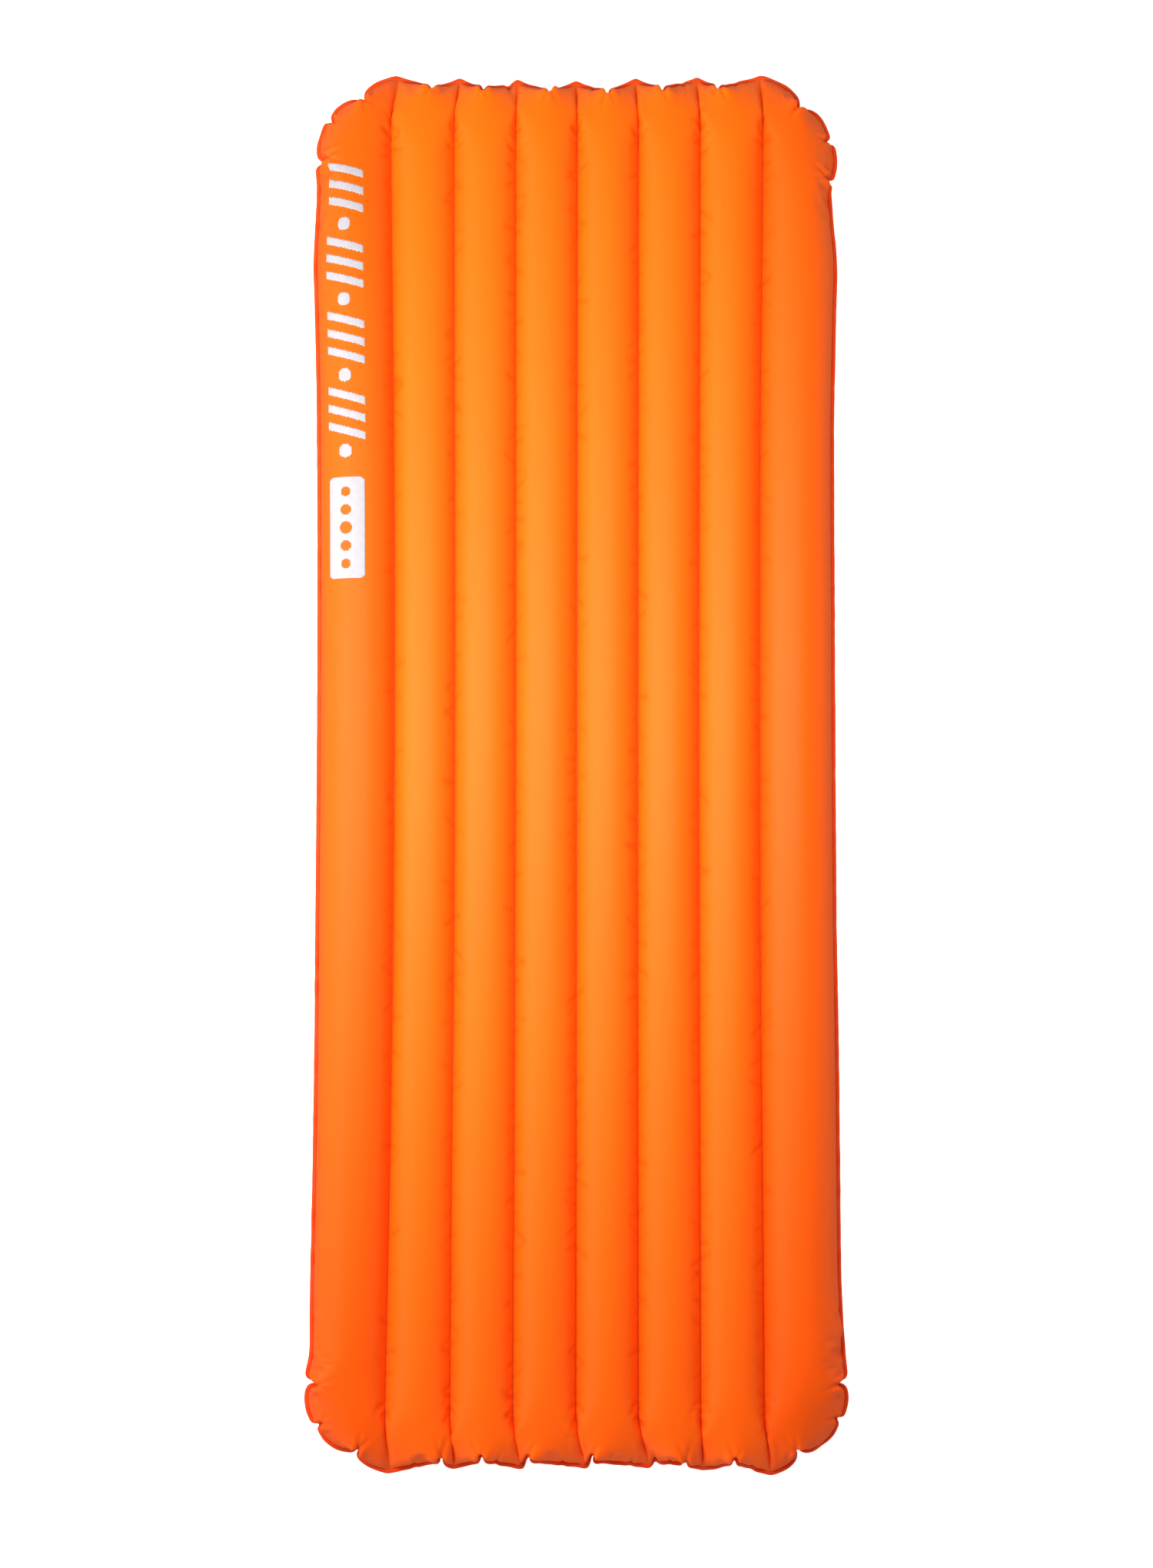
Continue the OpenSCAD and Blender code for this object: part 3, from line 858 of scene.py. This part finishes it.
def seam_wrinkles(pad):
    """Short slanted puckers where the cloth is gathered beside each welded seam; pad.fold keeps
    how deep each place lies in one, from 0 to 1; the cloth's colour also uses it as painted shade in these
    folds."""
    rng = np.random.default_rng(29)
    t = pad.t
    pad.fold = np.zeros((2, *pad.P.shape[2:]))
    for sheet in (0, 1):
        n = normals(pad.P[:, sheet], flip=bool(sheet))
        for c in pad.seams:
            for side in (1, -1):
                d = side * (pad.s - pad.s[c])
                near = (d > 0) & (d < 0.030)
                dn = d[near][:, None]
                y = -0.86
                while y < 0.86:
                    deep = rng.uniform(0.1, 1.0) ** 1.5
                    run = rng.uniform(0.007, 0.020)
                    slant = rng.uniform(-0.9, 0.9)
                    width = rng.uniform(0.0026, 0.0042)
                    mid = y + slant * dn
                    fold = np.exp(-(((t[None] - mid) / width) ** 2))
                    fold = fold * smooth(dn / 0.003) * smooth((run + 0.006 - dn) / 0.008)
                    pad.fold[sheet, near] += deep * fold
                    y += rng.uniform(0.008, 0.050 - 0.022 * abs(y))
        np.clip(pad.fold[sheet], 0, 1, out=pad.fold[sheet])
        pad.P[:, sheet] -= (n * 0.0009 * pad.fold[sheet][None]).astype(F)


def seam_shade(pad):
    """1 on a seam line, fading within a few millimetres: painted shade for the seam's valley, weaker near the
    ends.
    """
    d = np.min(np.abs(pad.s[:, None] - pad.s[pad.seams][None]), axis=1)
    rows = smooth((T_EDGE - WEB_GAP + 0.02 - np.abs(pad.t)) / 0.03)
    return np.exp(-((d / 0.0016) ** 2))[:, None] * (0.35 + 0.65 * rows[None])


def open_valve_hole(V, shape):
    """Cuts the sheet inside the valve body's wall; returns the moved points and the cells to keep."""
    q = V - VALVE_C
    u, v, w = q @ VALVE_X, q @ VALVE_Y, q @ VALVE_N
    r = np.hypot(u, v)
    hole = 0.017
    inside = (r < hole) & (np.abs(w) < 0.03)
    g = inside.reshape(shape)
    keep = ~(g[:-1, :-1] & g[1:, :-1] & g[:-1, 1:] & g[1:, 1:])
    k = np.nonzero(inside)[0]
    scale = hole / np.maximum(r[k], 1e-6)
    nu, nv = u[k] * scale, v[k] * scale
    nw = np.sqrt(SIDE_R**2 - nu**2) - SIDE_R
    V = V.copy()
    V[k] = VALVE_C + nu[:, None] * VALVE_X + nv[:, None] * VALVE_Y + nw[:, None] * VALVE_N
    return V, keep


def drop_loose(verts, faces, *extra):
    used = np.unique(faces)
    back = np.full(len(verts), -1)
    back[used] = np.arange(len(used))
    return verts[used], back[faces], [e[used] for e in extra]


def sheets(pad):
    ns, nt = pad.P.shape[2:]
    seam_shade_values = seam_shade(pad).reshape(-1)
    fold_shade = pad.fold.reshape(2, -1)
    # painted shade: the side tubes and the cloth within about a centimetre of the weld line are tinted
    # redder, for the dimmer light there
    rim = np.minimum(S_EDGE - np.abs(pad.s)[:, None], T_EDGE - np.abs(pad.t)[None])
    outer = (smooth((np.abs(pad.s) - HALF_MID) / 0.004)[:, None] + 1.2 * np.exp(-rim / 0.010)).reshape(-1)
    top = pad.P[:, 0].reshape(3, -1).T.astype(float)
    o = piece("top_sheet_fabric", top, grid_faces(ns, nt), "pad_fabric")
    for name, values in (("seam", seam_shade_values), ("outer", outer), ("fold", fold_shade[0])):
        set_attribute(o, name, values)
    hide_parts("top_sheet")
    low = pad.P[:, 1].reshape(3, -1).T.astype(float)
    low, keep = open_valve_hole(low, (ns, nt))
    v, f, extra = drop_loose(low, grid_faces(ns, nt, True, keep), seam_shade_values, outer, fold_shade[1])
    o = piece("bottom_sheet_fabric", v, f, "pad_fabric")
    for name, values in zip(("seam", "outer", "fold"), extra):
        set_attribute(o, name, values)
    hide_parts("bottom_sheet")


def edge_loop(pad):
    A = pad.P[:, 0].astype(float)
    loop = np.concatenate([A[:, :-1, 0], A[:, -1, :-1], A[:, :0:-1, -1], A[:, 0, :0:-1]], axis=1).T
    return loop


def even_steps(loop, step):
    d = np.linalg.norm(np.roll(loop, -1, 0) - loop, axis=1)
    arc = np.concatenate([[0], np.cumsum(d)])
    n = int(arc[-1] / step)
    at = np.linspace(0, arc[-1], n, endpoint=False)
    closed = np.vstack([loop, loop[:1]])
    return np.stack([np.interp(at, arc, closed[:, k]) for k in range(3)], 1)


def soften(a, times):
    for _ in range(times):
        a = 0.5 * a + 0.25 * (np.roll(a, 1, 0) + np.roll(a, -1, 0))
    return a


def weld_margin(pad):
    """The flat bonded rim outside the weld line, about a millimetre thick and slightly wavy."""
    loop = even_steps(edge_loop(pad), 0.0022)
    calm = soften(loop, 60)
    tangent = np.roll(calm, -1, 0) - np.roll(calm, 1, 0)
    out = np.stack([tangent[:, 1], -tangent[:, 0], 0 * tangent[:, 0]], 1)
    out /= np.linalg.norm(out, axis=1)[:, None]
    rng = np.random.default_rng(5)
    n = len(loop)
    wave = soften(rng.normal(0, 1, (n, 1)), 12)[:, 0]
    wave *= 0.0007 / np.abs(wave).std()
    rings = []
    section = ((-0.0010, 0.00025), (0.003, 0.00045), (MARGIN, 0.0004), (MARGIN + 0.0002, 0.0),
               (MARGIN, -0.0004), (0.003, -0.00045), (-0.0010, -0.00025))
    for reach, z in section:
        k = max(reach, 0) / MARGIN
        p = loop * (1 - k) + soften(loop, 2) * k + out * reach * 0.9
        p[:, 2] += z + wave * k - max(reach, 0) * 0.45
        rings.append(p)
    m = len(rings)
    V = np.stack(rings, 1).reshape(-1, 3)
    i = np.arange(n)
    faces = []
    for k in range(m):
        k2 = (k + 1) % m
        faces.append(np.stack([i * m + k, ((i + 1) % n) * m + k, ((i + 1) % n) * m + k2, i * m + k2], 1))
    piece("weld_margin", V, np.concatenate(faces)[:, ::-1], "weld")


def webs(pad):
    """Fabric webs: a foot on the bottom sheet, the web, and a foot on the top sheet."""
    rows = np.nonzero(np.abs(pad.t) <= T_EDGE - WEB_GAP)[0][::2]
    nT, nB = normals(pad.P[:, 0], False), normals(pad.P[:, 1], True)
    for k, c in enumerate(pad.seams, 1):
        lines = []
        for step in (4, 2):
            lines.append((pad.P[:, 1, c - step] - 0.0013 * nB[:, c - step])[:, rows].T)
        low, high = pad.P[:, 1, c][:, rows].T.copy(), pad.P[:, 0, c][:, rows].T.copy()
        low[:, 2] += 0.0014
        high[:, 2] -= 0.0014
        lines += [low * (1 - w) + high * w for w in (0, 0.12, 0.3, 0.5, 0.7, 0.88, 1)]
        for step in (2, 4):
            lines.append((pad.P[:, 0, c + step] - 0.0013 * nT[:, c + step])[:, rows].T)
        A = np.stack(lines)
        o = piece(f"web_{k}", A.reshape(-1, 3), grid_faces(*A.shape[:2]), "baffle_fabric")
        thicken(o, 0.0003)
        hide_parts(f"baffle_{k}")


def films(pad):
    """A crinkled metallised film across each tube at mid height."""
    rng = np.random.default_rng(17)
    cols = [0] + pad.seams + [pad.P.shape[2] - 1]
    mid = 0.5 * (pad.P[:, 0] + pad.P[:, 1])
    for k in range(8):
        a, b = cols[k], cols[k + 1]
        lim = 0.80 if k in (0, 7) else 0.845
        y = np.linspace(-lim, lim, 240)
        def line(c):
            return np.stack([np.interp(y, mid[1, c], mid[q, c]) for q in range(3)], 1)
        p, q = line(a), line(b)
        inset = 0.0012
        span = np.linspace(0, 1, 17)
        A = p[None] * (1 - span[:, None, None]) + q[None] * span[:, None, None]
        width = (q - p)[:, 0].mean()
        A[..., 0] = A[..., 0] + np.interp(span, [0, 1], [inset, -inset])[:, None]
        if k in (0, 7):
            clear = [0.010, 0] if k == 0 else [0, -0.010]
            A[..., 0] += np.interp(span, [0, 1], clear)[:, None]
        u = span[:, None] * abs(width)
        h = np.zeros((17, 240))
        for _ in range(14):
            ang, f, ph = rng.uniform(0, math.pi), rng.uniform(60, 260), rng.uniform(0, 6.28)
            h += np.abs(np.sin(f * (u * math.cos(ang) + y[None] * math.sin(ang)) / 2 + ph)) / 14
        A[..., 2] = MID_Z + (h - h.mean()) * 0.016 * np.sin(math.pi * span)[:, None] ** 0.5
        o = piece(f"film_{k + 1}", A.reshape(-1, 3), grid_faces(17, 240), "metallised_film", flat=True)
        thicken(o, 0.0002)
        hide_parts(f"thermal_film_{k + 1}")


# ---------------------------------------------------------------- print


class Face:
    """Places on the top sheet from flat coordinates (s across, t along)."""

    def __init__(self, pad):
        self.s, self.t = pad.s, pad.t
        self.P = pad.P[:, 0].astype(float)
        self.N = normals(self.P, False)

    def at(self, s, t, lift):
        i = np.interp(s, self.s, np.arange(len(self.s)))
        j = np.interp(t, self.t, np.arange(len(self.t)))
        i0 = np.minimum(i.astype(int), len(self.s) - 2)
        j0 = np.minimum(j.astype(int), len(self.t) - 2)
        a, b = i - i0, j - j0
        def mix(A):
            return (A[:, i0, j0] * (1 - a) * (1 - b) + A[:, i0 + 1, j0] * a * (1 - b)
                    + A[:, i0, j0 + 1] * (1 - a) * b + A[:, i0 + 1, j0 + 1] * a * b)
        return (mix(self.P) + mix(self.N) * lift).T


def print_patch(face, name, inside, s_range, t_range, step=0.0014, lift=0.0005):
    """A thin ink layer: the cells of a fine grid whose middles are inside the shape."""
    ns = int(round((s_range[1] - s_range[0]) / step)) + 1
    nt = int(round((t_range[1] - t_range[0]) / step)) + 1
    s = np.linspace(*s_range, ns)
    t = np.linspace(*t_range, nt)
    S, T = np.meshgrid(s, t, indexing="ij")
    cs, ct = 0.5 * (S[:-1, :-1] + S[1:, 1:]), 0.5 * (T[:-1, :-1] + T[1:, 1:])
    keep = inside(cs, ct)
    V = face.at(S.ravel(), T.ravel(), lift)
    v, f, _ = drop_loose(V, grid_faces(ns, nt, False, keep))
    thicken(piece(name, v, f, "white_print"), 0.0003, -1)


def rounded_box(s, t, cs, ct, hs, ht, r):
    a, b = np.abs(s - cs) - (hs - r), np.abs(t - ct) - (ht - r)
    return np.hypot(np.clip(a, 0, None), np.clip(b, 0, None)) + np.minimum(np.maximum(a, b), 0) - r < 0


PRINT_LOW, PRINT_HIGH = -0.3885, -0.3355  # the print's edges across the flat cut
PRINT_MID = (PRINT_LOW + PRINT_HIGH) / 2
STROKE = 0.0105
GAP = 0.0125
DOT_R = 0.009
BLOCK_T = 0.306  # the block's middle along the flat cut


def stroke_row(s, t):
    """A plain row of leaning strokes in threes, with a dot after each three."""
    hit = np.zeros(s.shape, bool)
    lean = (s - PRINT_MID) * 0.30
    y, count = 0.783, 0
    while y > 0.408:
        hit |= (t + lean > y - STROKE) & (t + lean < y)
        y -= STROKE + GAP
        count += 1
        if count % 3 == 0:
            hit |= np.hypot(s - PRINT_MID, t - (y - DOT_R)) < DOT_R
            y -= 2 * DOT_R + GAP
    return hit


def holed_block(s, t):
    """A rounded block with a row of five round holes, the middle one the largest."""
    body = rounded_box(s, t, PRINT_MID, BLOCK_T, 0.0255, 0.066, 0.008)
    for k in range(-2, 3):
        body &= np.hypot(s - PRINT_MID, t - BLOCK_T - k * 0.0235) > 0.0080 - 0.0009 * abs(k)
    return body


def prints(pad):
    face = Face(pad)
    print_patch(face, "print_strokes", stroke_row, (PRINT_LOW, PRINT_HIGH), (0.39, 0.81))
    print_patch(face, "print_block", holed_block, (PRINT_LOW - 0.002, PRINT_HIGH + 0.002), (0.235, 0.377),
                step=0.0012)


# ---------------------------------------------------------------- valve


def strap(name, path, width, thick, across, replaced):
    """A moulded tether with rounded sides, swept along a path given in the valve's millimetres."""
    P = np.array(path, float)
    d = np.linalg.norm(np.diff(P, axis=0), axis=1)
    arc = np.concatenate([[0], np.cumsum(d)])
    at = np.linspace(0, arc[-1], 21)
    C = np.stack([np.interp(at, arc, P[:, k]) for k in range(3)], 1)
    for _ in range(3):
        C[1:-1] = 0.5 * C[1:-1] + 0.25 * (C[:-2] + C[2:])
    T = np.gradient(C, axis=0)
    T /= np.linalg.norm(T, axis=1)[:, None]
    A = np.array(across, float)
    N = np.cross(T, A)
    N /= np.linalg.norm(N, axis=1)[:, None]
    ring = []
    for k in range(20):
        a = 2 * math.pi * k / 20
        ca, sa = math.cos(a), math.sin(a)
        ring.append((math.copysign(abs(ca) ** 0.35, ca), math.copysign(abs(sa) ** 0.6, sa)))
    rows = []
    for i in range(len(C)):
        waist = 1 - 0.14 * math.sin(math.pi * i / (len(C) - 1))
        for x, y in ring:
            p = C[i] + A * x * width / 2 * waist + N[i] * y * thick / 2
            rows.append(at_valve(*p))
    m = len(ring)
    faces = []
    for i in range(len(C) - 1):
        for k in range(m):
            faces.append((i * m + k, i * m + (k + 1) % m, (i + 1) * m + (k + 1) % m, (i + 1) * m + k))
    faces.append(tuple(range(m))[::-1])
    faces.append(tuple((len(C) - 1) * m + k for k in range(m)))
    o = piece(name, rows, faces, "valve_tpu", body=None)
    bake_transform(o)
    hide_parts(replaced)
    return o


VALVE_LOOKS = {
    "valve_flange": "valve_tpu",
    "valve_body": "valve_tpu",
    "body_seal": "seal_silicone",
    "deflation_plug": "valve_plastic",
    "check_flap": "seal_silicone",
    "inflation_cap": "valve_plastic",
    "cap_seal": "seal_silicone",
}


def valve():
    """The CAD valve with its materials and softened edges, and its two tethers."""
    for node, mat in VALVE_LOOKS.items():
        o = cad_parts[node]
        o.data.materials.clear()
        o.data.materials.append(MAT[mat])
        for p in o.data.polygons:
            p.material_index = 0
        weld = o.modifiers.new("weld", "WELD")
        weld.merge_threshold = 0.00001
        bevel = o.modifiers.new("edge", "BEVEL")
        bevel.width = 0.00018
        bevel.segments = 2
        bevel.limit_method = "ANGLE"
        bevel.angle_limit = math.radians(40)
    plug_path = [(-21.2, 0, 3.25), (-20.3, 0, 3.25), (-19.5, 0, 3.3), (-18.7, 0, 3.6), (-17.8, 0, 4.2)]
    strap("plug_tether", plug_path, 6.0, 0.6,
          (0, 1, 0), "plug_strap")
    cap_path = [(0, 17.4, 5.3), (0, 15.8, 5.3), (0, 14.2, 5.4), (0, 12.9, 5.8), (0, 11.2, 6.4)]
    strap("cap_tether", cap_path, 6.0, 0.65,
          (1, 0, 0), "cap_strap")


camera()
studio()
studio_floor()
the_pad = settle_outline(inflate())
refine(the_pad)
ease_seam_ends(the_pad)
puckers(the_pad)
seam_wrinkles(the_pad)
np.maximum(the_pad.P[2], 0, out=the_pad.P[2])
sheets(the_pad)
weld_margin(the_pad)
webs(the_pad)
films(the_pad)
prints(the_pad)
valve()

bpy.context.view_layer.update()
